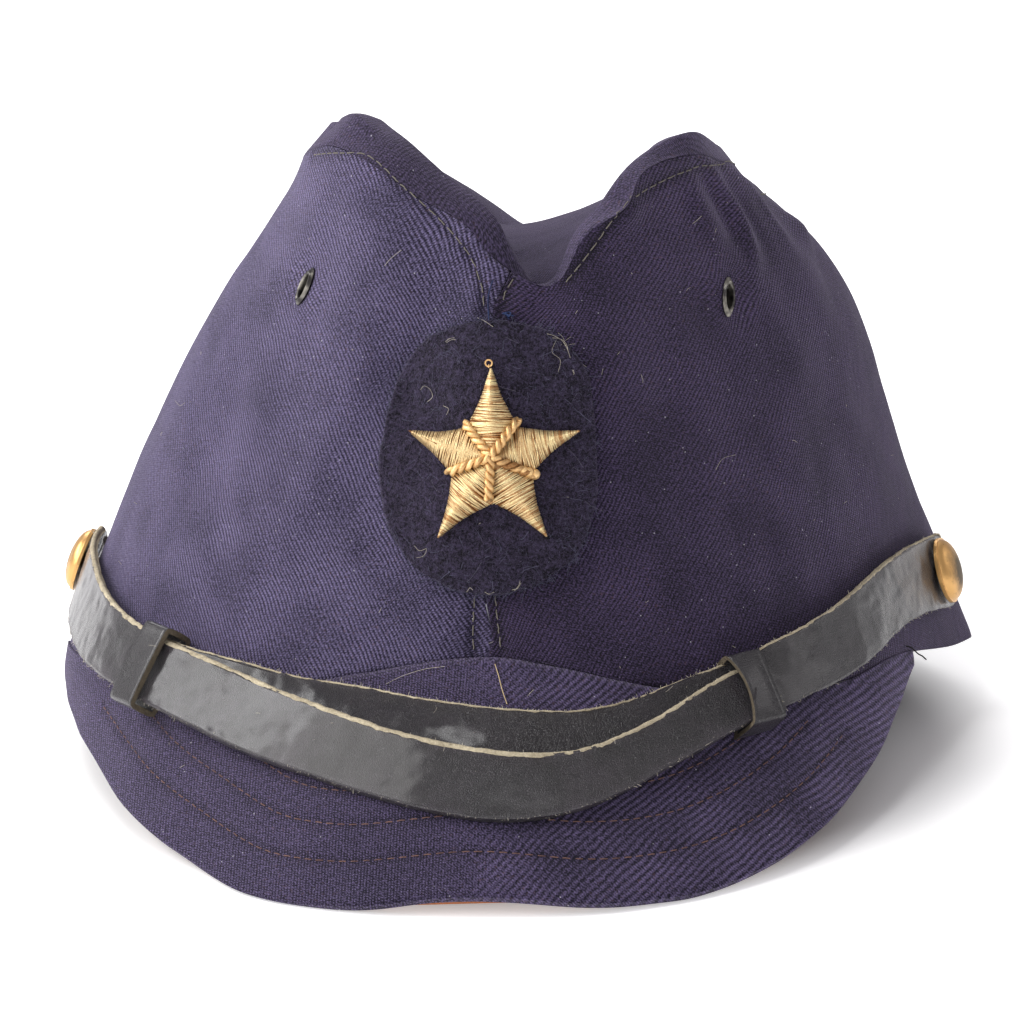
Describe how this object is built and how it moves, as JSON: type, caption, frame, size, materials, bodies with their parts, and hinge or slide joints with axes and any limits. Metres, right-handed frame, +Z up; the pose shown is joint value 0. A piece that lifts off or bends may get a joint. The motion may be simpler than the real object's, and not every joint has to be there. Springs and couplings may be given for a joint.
{
  "type": "forage cap",
  "caption": "Soft cloth forage cap with a creased crown, a stitched visor, a star badge on a felt patch and a leather chin strap over the visor",
  "frame": {"origin": "middle of the cap's bounding box in plan, on the floor it rests on", "axes": "+Z up, -Y towards the front of the visor, +X towards the wearer's left, which is on the right in a front view"},
  "size_m": [0.1976, 0.2286, 0.1396],
  "materials": {
    "navy_twill": "wool twill, matt",
    "tan_lining": "stiffened cloth, matt",
    "black_felt": "brushed felt, matt",
    "gold_thread": "metallic thread, satin",
    "black_leather": "grained, half gloss",
    "aged_brass": "domed, worn patina",
    "blackened_metal": "blackened, worn at the edge"
  },
  "bodies": {
    "root": {"crown_side_left": "navy_twill", "crown_side_right": "navy_twill", "crown_top": "navy_twill", "visor": "navy_twill", "visor_lining": "tan_lining", "badge_patch": "black_felt", "star": "gold_thread", "star_cord_1": "gold_thread", "star_cord_2": "gold_thread", "star_cord_3": "gold_thread", "star_cord_4": "gold_thread", "star_cord_5": "gold_thread", "strap_left": "black_leather", "strap_right": "black_leather", "keeper_left": "black_leather", "keeper_right": "black_leather", "button_left": "aged_brass", "button_right": "aged_brass", "eyelet_left": "blackened_metal", "eyelet_right": "blackened_metal"}
  },
  "joints": []
}
